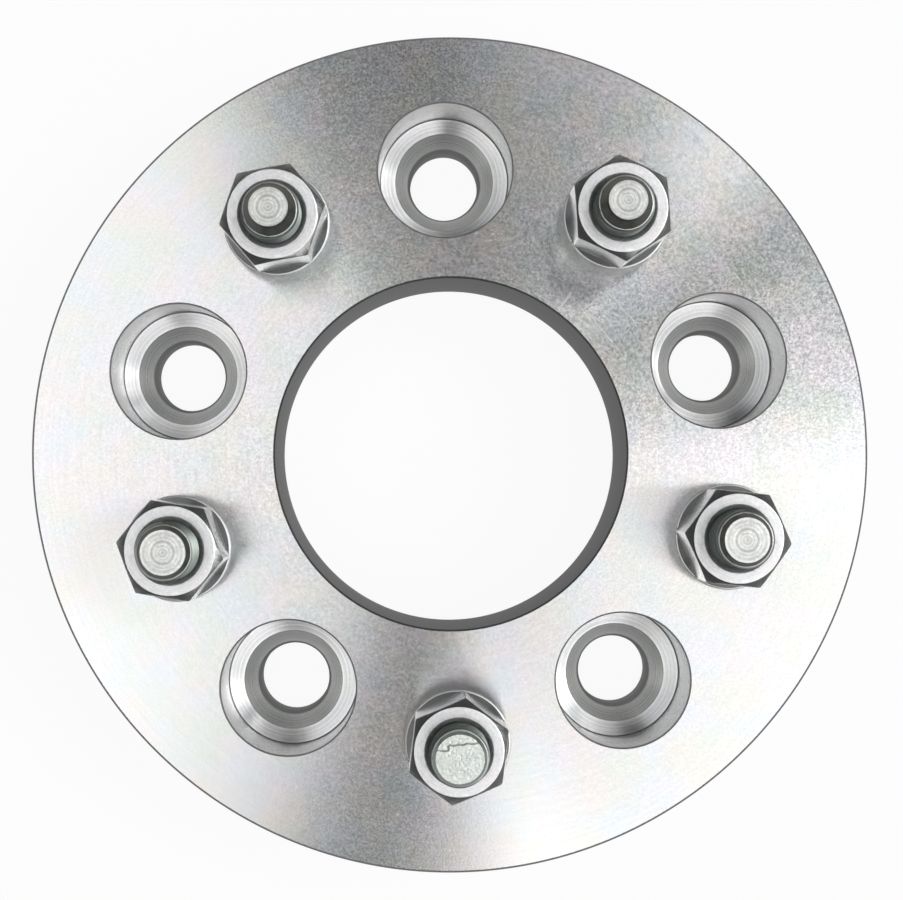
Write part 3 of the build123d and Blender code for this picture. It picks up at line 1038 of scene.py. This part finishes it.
@dataclass(frozen=True)
class WheelStud:
    """A headed stud, pressed in from the back, with its knurl and its thread."""

    frame: SpacerFrame
    thread: Thread
    place: Vector
    end: StudEnd
    thread_cutter: ThreadCutter
    knurl_roller: KnurlRoller
    head_radius: float = 9.5 * MM
    head_edge: float = 0.6 * MM
    seat_height: float = 5.0 * MM
    knurl_radius: float = 6.34 * MM
    knurl_depth: float = 0.28 * MM
    knurl_length: float = 9.0 * MM
    knurl_ribs: int = 36
    tip_edge: float = 0.06 * MM
    lead_in: float = 1.1 * MM
    crest_band: float = 0.25 * MM
    crest_land: float = 0.2 * MM
    crest_rise: float = 0.05 * MM
    columns: int = 72
    broken_columns: int = 144
    tip_rings: int = 18
    broken_rings: int = 36
    step_depth: float = 0.3 * MM
    step_jag: float = 0.25 * MM
    step_jag_size: float = 0.8 * MM
    step_offset: float = 2.85 * MM
    step_slope: float = math.tan(math.radians(5.0))
    step_width: float = 0.30 * MM
    ledge_offset: float = 1.7 * MM
    ledge_start: float = 2.3 * MM
    pit_size: float = 0.5 * MM
    pit_depth: float = 0.10 * MM
    pit_falloff: float = 0.8
    pit_lacunarity: float = 2.0
    pit_octaves: int = 3

    def _crest(self) -> tuple[float, float]:
        """Find the first crest, where the shoulder ends and the thread starts.

        Returns:
            Its height and radius.
        """
        radius = self.thread.radius - self.end.shoulder_inset
        neck_bottom = self.frame.tip_height - self.end.neck_length
        return neck_bottom - (radius - self.end.tip_radius), radius

    def _shoulder(self) -> list[tuple[float, float]]:
        """Lay out the end, from the full thread to the neck.

        Returns:
            Its corners as heights and radii.
        """
        crest_height, crest_radius = self._crest()
        band_share = self.crest_band / self.lead_in
        return [
            (crest_height - self.lead_in, self.thread.radius),
            (crest_height - self.crest_band, crest_radius + band_share * self.end.shoulder_inset),
            (crest_height, crest_radius),
            (crest_height + self.crest_rise, crest_radius - self.crest_land),
            (self.frame.tip_height - self.end.neck_length, self.end.tip_radius),
        ]

    def _outline(self, height: float) -> float:
        """Find the uncut blank's radius within the threaded stretch.

        Args:
            height: The height to find it at.

        Returns:
            The radius.
        """
        below = (0.0, self.thread.radius)
        for above in self._shoulder():
            if height <= above[0]:
                share = (height - below[0]) / (above[0] - below[0])
                return below[1] + share * (above[1] - below[1])
            below = above
        return below[1]

    def _band(self, height: float) -> Zone:
        """Choose the finish of a band of the threaded end.

        Args:
            height: The height at which the band ends.

        Returns:
            The finish.
        """
        crest = self._crest()[0]
        # The thread, and a sheared end's shoulder, take the dark painted-shade thread colour; the first
        # crest takes a lighter painted highlight.
        if height < crest - WELD_DISTANCE:
            return Zone.THREAD
        if height < crest + self.crest_rise + WELD_DISTANCE:
            return Zone.PAINTED_HIGHLIGHT_STUD_CREST
        return Zone.THREAD if self.end.broken else Zone.PAINTED_SHADE_STUD_SIDE

    def _tip_drop(self, spot: Vector) -> float:
        """Return how far the broken end lies below the tip at a spot beside the stud's axis.

        Args:
            spot: The place relative to the axis.

        Returns:
            The drop in metres.
        """
        if not self.end.broken:
            return 0.0
        past_step = spot.y - self.step_offset - self.step_slope * spot.x
        past_ledge = min(spot.y - self.ledge_offset, -self.ledge_start - spot.x)
        past_edge = max(past_step, past_ledge) + self.step_jag * noise.noise(spot / self.step_jag_size)
        drop = self.step_depth * min(max(past_edge / self.step_width + 0.5, 0.0), 1.0)
        grain = noise.fractal(spot / self.pit_size, self.pit_falloff, self.pit_lacunarity,
                              self.pit_octaves)
        return drop + self.pit_depth * max(grain, 0.0)

    def _column(self, angle: float) -> list[Station]:
        """Lay out the stud's profile.

        Args:
            angle: The column's angle.

        Returns:
            The profile from the head's centre to the tip's centre.
        """
        low, high = self.frame.head_height, self.frame.tip_height
        knurl_top = self.seat_height + self.knurl_length
        neck_bottom = high - self.end.neck_length
        tip = self.end.tip_radius
        # A whole tip takes the near-white painted-highlight colour.
        tip_zone = Zone.BROKEN_TIP if self.end.broken else Zone.PAINTED_HIGHLIGHT_STUD_TIP
        foot = eased([
            Station(0.0, low, Zone.STUD_HEAD),
            Station(self.head_radius - self.head_edge, low, Zone.STUD_HEAD),
            Station(self.head_radius, low + self.head_edge, Zone.STUD_HEAD),
            Station(self.head_radius, self.seat_height, Zone.STUD_HEAD),
            Station(self.knurl_radius, self.seat_height, Zone.STUD_HEAD),
        ], self.tip_edge)
        collar = [
            Station(self.knurl_radius, knurl_top, Zone.KNURL),
            Station(self.thread.radius, knurl_top, Zone.KNURL),
        ]
        heights = ThreadCutter.rows(angle, self.thread.pitch, knurl_top, neck_bottom)
        heights += [height for height, _ in self._shoulder()]
        threaded = [Station(self._outline(height), height, self._band(height))
                    for height in sorted(heights)]
        outward = Vector((math.cos(angle), math.sin(angle), 0.0))
        face = [Station(tip - self.tip_edge, high, Zone.PAINTED_SHADE_STUD_SIDE)]
        rings = self.broken_rings if self.end.broken else self.tip_rings
        for ring in range(rings - 1, -1, -1):
            face.append(Station((tip - self.tip_edge) * ring / rings, high, tip_zone))
        face = [Station(station.radius, high - self._tip_drop(outward * station.radius), station.zone)
                for station in face]
        # The neck takes the near-black painted-shade colour.
        neck = Station(tip, high - self.tip_edge - self._tip_drop(outward * tip), Zone.PAINTED_SHADE_STUD_SIDE)
        return [*foot, *collar, *threaded, neck, *face]

    def build(self, name: str) -> bpy.types.Object:
        """Build the stud.

        Args:
            name: The piece's name.

        Returns:
            The finished piece.
        """
        blank = Blank()
        columns = self.broken_columns if self.end.broken else self.columns
        blank.sweep(self.place, even_angles(columns), self._column)
        piece = blank.piece(name)
        knurl_top = self.seat_height + self.knurl_length
        self.knurl_roller.put_on(piece, {
            "Centre": self.place,
            "Finish": finish_of(Zone.KNURL),
            "Start": self.seat_height,
            "End": knurl_top,
            "Crest Radius": self.knurl_radius,
            "Depth": self.knurl_depth,
            "Ribs": float(self.knurl_ribs),
        })
        self.thread_cutter.put_on(piece, {
            "Centre": self.place,
            "Finish": finish_of(Zone.THREAD),
            "Start": knurl_top,
            "End": self._crest()[0] - self.crest_band,
            "Crest Radius": self.thread.radius,
            "Depth": self.thread.depth,
            "Pitch": self.thread.pitch,
            "Clearance": 0.0,
            "Inside": 0.0,
        })
        settle(piece)
        return piece


@dataclass(frozen=True)
class LugNut:
    """An open-ended bulge nut: a hexagon on a turned bulge with a conical nose."""

    frame: SpacerFrame
    thread: Thread
    place: Vector
    corner_angle: float
    thread_cutter: ThreadCutter
    sides: int = 6
    flat_radius: float = 9.5 * MM
    corner_rounding: float = 0.5 * MM
    nose_wall: float = 1.0 * MM
    nose_half_angle: float = math.radians(30.0)
    nose_countersink: float = 0.4 * MM
    bulge_overhang: float = 0.1 * MM
    bulge_round: float = 0.45 * MM
    bulge_band: float = 0.7 * MM
    rim_width: float = 0.40 * MM
    rim_slope: float = math.tan(math.radians(10.0))
    shoulder_slope: float = math.tan(math.radians(38.0))
    rim_edge: float = 0.03 * MM
    cove: float = 0.1 * MM
    ring_inset: float = 0.47 * MM
    crown_slope: float = math.tan(math.radians(30.0))
    mouth_width: float = 0.93 * MM
    easing: float = 0.16 * MM
    flat_columns: int = 20
    corner_columns: int = 6

    def _side_radius(self, angle: float) -> float:
        """Find the rounded hexagon's radius.

        Args:
            angle: The angle from a corner.

        Returns:
            The radius.
        """
        sixth = TURN / self.sides
        off_corner = abs((angle + sixth / 2) % sixth - sixth / 2)
        arc_centre = (self.flat_radius - self.corner_rounding) / math.cos(sixth / 2)
        if off_corner < self._arc_end():
            across = arc_centre * math.sin(off_corner)
            return arc_centre * math.cos(off_corner) + math.sqrt(self.corner_rounding**2 - across**2)
        return self.flat_radius / math.cos(sixth / 2 - off_corner)

    def _arc_end(self) -> float:
        """Find how far from a corner its rounding reaches.

        Returns:
            The angle at the axis.
        """
        half = TURN / self.sides / 2
        along_flat = (self.flat_radius - self.corner_rounding) * math.tan(half)
        return half - math.atan(along_flat / self.flat_radius)

    def _angles(self) -> list[float]:
        """Spread the columns, close together round each corner.

        Returns:
            Their angles, the first one's full turn included.
        """
        sixth, arc = TURN / self.sides, self._arc_end()
        flat = sixth - 2 * arc
        angles = []
        for corner in range(self.sides):
            base = self.corner_angle + corner * sixth
            angles += [base - arc + 2 * arc * step / self.corner_columns
                       for step in range(self.corner_columns)]
            angles += [base + arc + flat * (1 - math.cos(math.pi * step / self.flat_columns)) / 2
                       for step in range(self.flat_columns)]
        return angles + [angles[0] + TURN]

    def _column(self, angle: float) -> list[Station]:
        """Lay out the nut's closed profile.

        Args:
            angle: The column's angle.

        Returns:
            The profile, from the mouth's foot down the thread and round the outside to it again.
        """
        seat = self.frame.thickness
        top = self.frame.nut_top
        side = self._side_radius(angle - self.corner_angle)
        bulge = self.flat_radius / math.cos(TURN / self.sides / 2) + self.bulge_overhang
        rim = max(bulge - self.rim_width, side)
        nose = self.thread.radius + self.nose_wall
        cone_top_radius = bulge - self.bulge_round
        cone_top = seat + (cone_top_radius - nose) / math.tan(self.nose_half_angle)
        band_top = cone_top + self.bulge_round + self.bulge_band
        rim_top = band_top + (bulge - rim) * self.rim_slope
        shoulder_top = rim_top + (rim - side) * self.shoulder_slope
        bore = self.thread.radius - self.thread.nut_crest_depth
        mouth = self.thread.radius + self.mouth_width
        thread_mouth = self.thread.radius + 2 * self.thread.clearance
        ring = self.flat_radius - self.ring_inset
        mouth_foot = top - (mouth - bore)
        nose_foot = seat + self.nose_countersink
        heights = ThreadCutter.rows(angle, self.thread.pitch, nose_foot, mouth_foot)
        threaded = [Station(bore, height, Zone.NUT_THREAD) for height in sorted(heights, reverse=True)]
        shell = eased([
            Station(bore, nose_foot, Zone.NUT_THREAD),
            Station(bore + self.nose_countersink, seat, Zone.NUT_NOSE),
            Station(nose, seat, Zone.NUT_NOSE),
            Station(cone_top_radius, cone_top, Zone.NUT_NOSE),
            Station(bulge, band_top - self.bulge_band, Zone.NUT_RIM),
            Station(bulge, band_top, Zone.NUT_RIM),
            Station(rim, rim_top, Zone.NUT_RIM, rounding=self.rim_edge),
            # Shoulder and crown take painted-shade greys, and the top ring a painted-highlight near
            # white.
            Station(side, shoulder_top, Zone.PAINTED_SHADE_NUT_SHOULDER, rounding=self.cove),
            Station(side, top - (side - ring) * self.crown_slope, Zone.NUT_SIDE),
            Station(ring, top, Zone.PAINTED_SHADE_NUT_CROWN),
            Station(mouth, top, Zone.PAINTED_HIGHLIGHT_NUT_RING),
            Station(thread_mouth, top - (mouth - thread_mouth), Zone.NUT_MOUTH),
            Station(bore, mouth_foot, Zone.NUT_THREAD),
        ], self.easing)
        return [*threaded, *shell]

    def build(self, name: str) -> bpy.types.Object:
        """Build the nut.

        Args:
            name: The piece's name.

        Returns:
            The finished piece.
        """
        blank = Blank()
        blank.sweep(self.place, self._angles(), self._column)
        piece = blank.piece(name)
        self.thread_cutter.put_on(piece, {
            "Centre": self.place,
            "Finish": finish_of(Zone.NUT_THREAD),
            "Start": self.frame.thickness,
            "End": self.frame.nut_top,
            "Crest Radius": self.thread.radius,
            "Depth": self.thread.depth,
            "Pitch": self.thread.pitch,
            "Clearance": self.thread.clearance,
            "Inside": 1.0,
        })
        settle(piece)
        return piece


@dataclass(frozen=True)
class PhotoCamera:
    """The camera that took the picture, looking almost straight down at the wheel face."""

    face_height: float
    place: tuple[float, float] = (-6.91 * MM, -5.74 * MM)
    above_face: float = 430.0 * MM
    aim: tuple[float, float] = (0.09 * MM, 0.77 * MM)
    lens: float = 80.85
    sensor: float = 36.0
    nearest: float = 1.0 * MM

    def build(self) -> bpy.types.Object:
        """Make this the scene's camera.

        Returns:
            The camera.
        """
        data = bpy.data.cameras.new("camera")
        data.lens = self.lens
        data.sensor_width = self.sensor
        data.sensor_fit = "HORIZONTAL"
        data.clip_start = self.nearest
        camera = bpy.data.objects.new("camera", data)
        place = Vector((*self.place, self.face_height + self.above_face))
        forward = (Vector((*self.aim, self.face_height)) - place).normalized()
        right = forward.cross(PICTURE_UP).normalized()
        turn = Matrix((right, right.cross(forward), -forward)).transposed()
        camera.matrix_world = Matrix.Translation(place) @ turn.to_4x4()
        bpy.context.scene.collection.objects.link(camera)
        bpy.context.scene.camera = camera
        return camera


@dataclass(frozen=True)
class SoftPanel:
    """A soft light panel of the studio, as the object sees it: a window of azimuth and zenith angle."""

    azimuth: float
    half_width: float
    low: float
    high: float
    strength: float
    softness: float = 5.0

    def light(self, desk: NodeDesk, across: Socket, height: Socket) -> Socket:
        """Return the panel's light in a direction.

        Args:
            desk: The world's node desk.
            across: The direction's level part, of length one.
            height: The direction's height, the cosine of its zenith angle.

        Returns:
            The radiance.
        """
        towards = (math.cos(math.radians(self.azimuth)), math.sin(math.radians(self.azimuth)), 0.0)
        window = desk.remap(desk.dot(across, towards), self._edge(self.half_width), RISING, smooth=True)
        above = desk.remap(height, self._edge(self.high), RISING, smooth=True)
        below = desk.remap(height, self._edge(self.low, nearest=0.0), FALLING, smooth=True)
        shape = desk.math("MULTIPLY", desk.math("MULTIPLY", window, above), below)
        return desk.math("MULTIPLY", shape, self.strength)

    def _edge(self, angle: float, nearest: float = -math.inf) -> tuple[float, float]:
        """Find the cosines between which a soft edge lies.

        Args:
            angle: The middle of the edge, in degrees.
            nearest: The smallest angle that it may start at.

        Returns:
            The cosines of its far and its near end.
        """
        far, near = angle + self.softness, max(angle - self.softness, nearest)
        return math.cos(math.radians(far)), math.cos(math.radians(near))


@dataclass(frozen=True)
class Studio:
    """The room that lights the object: soft panels in a dim dome over a pale floor."""

    panels: tuple[SoftPanel, ...] = (
        SoftPanel(azimuth=183.0, half_width=66.5, low=4.0, high=30.5, strength=1.6),
        SoftPanel(azimuth=326.5, half_width=39.0, low=1.5, high=55.0, strength=1.55),
        SoftPanel(azimuth=61.5, half_width=22.5, low=22.0, high=30.0, strength=3.0),
        SoftPanel(azimuth=12.0, half_width=16.5, low=29.0, high=50.0, strength=6.4),
        SoftPanel(azimuth=282.5, half_width=3.5, low=7.5, high=33.5, strength=2.9),
        SoftPanel(azimuth=211.0, half_width=15.5, low=4.5, high=28.0, strength=0.45),
        SoftPanel(azimuth=47.5, half_width=5.5, low=22.0, high=32.0, strength=5.2),
    )
    overhead: float = 0.015
    low_sky: float = 0.09
    dome_heights: tuple[float, float] = (0.5, 0.95)
    horizon: float = 0.42
    horizon_heights: tuple[float, float] = (0.2, 0.45)
    ground: float = 0.5
    ground_heights: tuple[float, float] = (-0.05, 0.0)
    floor_radius: float = 8.0
    floor_sides: int = 96
    floor_paper: Colour = grey(0.85)
    floor_drop: float = 0.02 * MM
    floor_glow: float = 0.93

    def light(self) -> None:
        """Light the world: a dim dome with the panels in it, shown as plain white to the camera."""
        world = bpy.data.worlds.new("studio")
        world.use_nodes = True
        world.node_tree.nodes.clear()
        desk = NodeDesk(world.node_tree)
        direction = desk.add("ShaderNodeTexCoord", {}).outputs["Generated"]
        x, y, height = desk.split(desk.vector("NORMALIZE", direction))
        across = desk.vector("NORMALIZE", desk.joined(x, y, 0.0))
        total = desk.remap(height, self.dome_heights, (self.low_sky, self.overhead), smooth=True)
        for heights, extra in ((self.horizon_heights, self.horizon - self.low_sky),
                               (self.ground_heights, self.ground - self.horizon)):
            total = desk.math("ADD", total, desk.remap(height, heights, (extra, 0.0), smooth=True))
        for panel in self.panels:
            total = desk.math("ADD", total, panel.light(desk, across, height))
        seen = desk.add("ShaderNodeLightPath", {}).outputs["Is Camera Ray"]
        unseen = desk.math("SUBTRACT", 1.0, seen)
        strength = desk.math("ADD", desk.math("MULTIPLY", total, unseen), seen)
        background = desk.add("ShaderNodeBackground", {"Color": WHITE, "Strength": strength})
        desk.add("ShaderNodeOutputWorld", {"Surface": background.outputs[0]})
        bpy.context.scene.world = world

    def floor(self) -> bpy.types.Object:
        """Lay the pale floor, which shows white and keeps the object's shadow.

        Returns:
            The floor.
        """
        mesh = bmesh.new()
        bmesh.ops.create_circle(mesh, cap_ends=True, segments=self.floor_sides, radius=self.floor_radius)
        bmesh.ops.translate(mesh, verts=mesh.verts[:], vec=-UP * self.floor_drop)
        data = bpy.data.meshes.new("floor")
        mesh.to_mesh(data)
        mesh.free()
        data.materials.append(self._floor_finish())
        floor = bpy.data.objects.new("floor", data)
        bpy.context.scene.collection.objects.link(floor)
        return floor

    def _floor_finish(self) -> bpy.types.Material:
        """Make the floor's matt white, clear when it is seen from below.

        Returns:
            The material.
        """
        material = bpy.data.materials.new("floor_paper")
        material.use_nodes = True
        material.node_tree.nodes.clear()
        desk = NodeDesk(material.node_tree)
        path = desk.add("ShaderNodeLightPath", {}).outputs
        seen = desk.math("ADD", desk.math("ADD", path["Is Camera Ray"], path["Is Glossy Ray"]),
                         path["Is Transmission Ray"])
        paper = desk.add("ShaderNodeBsdfDiffuse", {"Color": (*self.floor_paper, 1.0)})
        glow = desk.add("ShaderNodeEmission", {"Color": WHITE, "Strength": 1.0})
        share = desk.math("MULTIPLY", desk.math("MINIMUM", seen, 1.0), self.floor_glow)
        front = desk.add("ShaderNodeMixShader", {0: share, 1: paper.outputs[0], 2: glow.outputs[0]})
        clear = desk.add("ShaderNodeBsdfTransparent", {})
        back = desk.add("ShaderNodeNewGeometry", {}).outputs["Backfacing"]
        both = desk.add("ShaderNodeMixShader", {0: back, 1: front.outputs[0], 2: clear.outputs[0]})
        desk.add("ShaderNodeOutputMaterial", {"Surface": both.outputs[0]})
        return material


ENDS_AND_CORNERS = (
    (StudEnds.DOG_POINT, 34.0),
    (StudEnds.DOG_POINT, 11.0),
    (StudEnds.CHAMFERED, 51.0),
    (StudEnds.SHEARED, 23.0),
    (StudEnds.CHAMFERED, 54.0),
)


def hand_over(piece: bpy.types.Object, node: str) -> None:
    """Let a piece stand for a node of the frame and report it.

    Args:
        piece: The finished piece.
        node: The node that it replaces.
    """
    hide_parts(node)
    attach(piece, "root")
    log.info("%s stands for %s: %d faces", piece.name, node, len(piece.data.polygons))


def main() -> None:
    """Build the camera, the studio and every piece of the spacer."""
    logging.basicConfig(level=logging.INFO, format="%(message)s")
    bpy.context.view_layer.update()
    sizes = SpacerFrame.read(frame["record"])
    bpy.context.scene.view_settings.view_transform = "Standard"
    PhotoCamera(sizes.thickness).build()
    studio = Studio()
    studio.light()
    studio.floor()

    hand_over(AdapterBody(sizes).build(), "adapter_body")
    thread, thread_cutter, knurl_roller = Thread(), ThreadCutter(), KnurlRoller()
    for number, (place, (end, corner)) in enumerate(zip(sizes.stud_places, ENDS_AND_CORNERS), start=1):
        stud = WheelStud(sizes, thread, place, end.value, thread_cutter, knurl_roller)
        hand_over(stud.build(f"stud_{number}"), f"wheel_stud_{number}")
        nut = LugNut(sizes, thread, place, math.radians(corner), thread_cutter)
        hand_over(nut.build(f"nut_{number}"), f"lug_nut_{number}")


if __name__ == "__main__":
    main()
